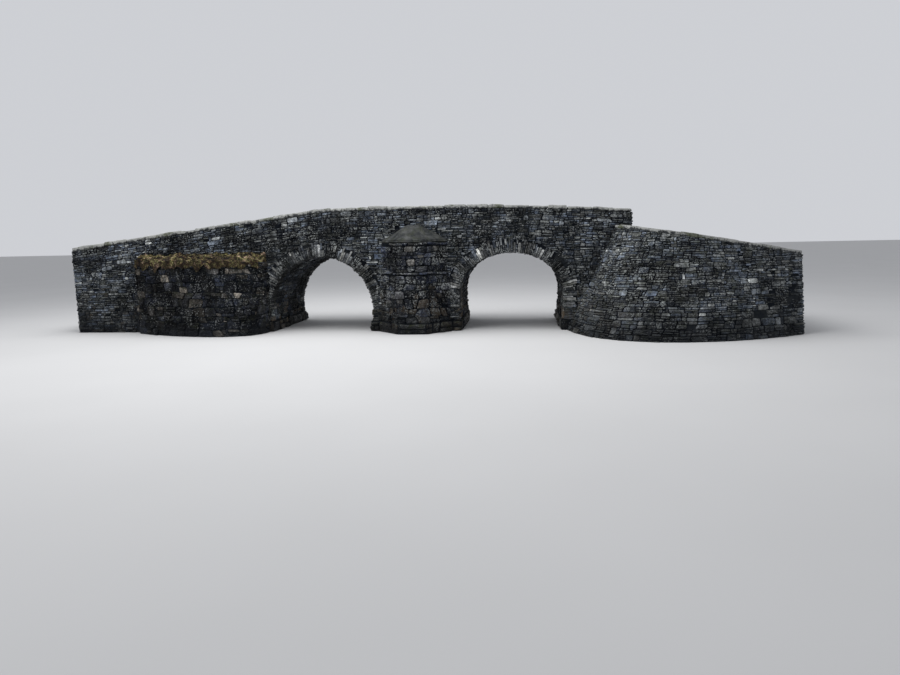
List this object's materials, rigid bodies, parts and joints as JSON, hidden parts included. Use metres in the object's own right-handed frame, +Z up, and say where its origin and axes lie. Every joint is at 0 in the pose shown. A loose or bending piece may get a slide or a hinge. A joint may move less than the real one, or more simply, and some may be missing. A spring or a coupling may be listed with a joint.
{
  "type": "packhorse bridge",
  "caption": "Humped rubble-stone bridge with arches on a pointed river pier, parapets with slab coping and a swept wing wall.",
  "frame": {"origin": "centre of the river pier's foot, at the water level", "axes": "+X along the bridge to the right, +Y through the arches towards the back, +Z up"},
  "size_m": [22.39, 6.8344, 3.8585],
  "materials": {
    "wall_rubble": "thin-bedded blue-grey slate rubble with lichen specks and weathered joints",
    "pier_rubble": "larger dark river rubble, brown and ochre near the water",
    "foot_stone": "large brown foot stones, damp and stained",
    "arch_slate": "thin buff and grey slates set on edge",
    "coping_slab": "rough pale grey slabs with lichen",
    "cap_mortar": "smooth weathered lime mortar",
    "road_surface": "worn grit and rolled stone",
    "rubble_fill": "packed earth and rubble",
    "mossy_capping": "rough sloped capping, moss-stained"
  },
  "bodies": {
    "root": {"pier_footing": "foot_stone", "pier": "pier_rubble", "front_cutwater": "pier_rubble", "front_cutwater_cap": "cap_mortar", "back_cutwater": "pier_rubble", "back_cutwater_cap": "cap_mortar", "left_abutment_footing": "foot_stone", "right_abutment_footing": "foot_stone", "left_abutment": "pier_rubble", "right_abutment": "pier_rubble", "left_arch_barrel": "arch_slate", "right_arch_barrel": "arch_slate", "front_left_arch_ring": "arch_slate", "front_right_arch_ring": "arch_slate", "back_left_arch_ring": "arch_slate", "back_right_arch_ring": "arch_slate", "front_left_spandrel": "wall_rubble", "front_pier_spandrel": "wall_rubble", "front_right_spandrel": "wall_rubble", "back_left_spandrel": "wall_rubble", "back_pier_spandrel": "wall_rubble", "back_right_spandrel": "wall_rubble", "front_left_approach_wall": "wall_rubble", "back_left_approach_wall": "wall_rubble", "back_right_approach_wall": "wall_rubble", "left_end_wall": "wall_rubble", "right_end_wall": "wall_rubble", "left_fill": "rubble_fill", "pier_fill": "rubble_fill", "right_fill": "rubble_fill", "left_roadway": "road_surface", "right_roadway": "road_surface", "right_apron": "road_surface", "front_left_parapet": "wall_rubble", "front_right_parapet": "wall_rubble", "back_left_parapet": "wall_rubble", "back_right_parapet": "wall_rubble", "front_left_coping": "coping_slab", "front_right_coping": "coping_slab", "back_left_coping": "coping_slab", "back_right_coping": "coping_slab", "right_wing_wall": "wall_rubble", "right_wing_coping": "coping_slab", "left_wing_wall": "pier_rubble", "left_wing_capping": "mossy_capping"}
  },
  "joints": []
}
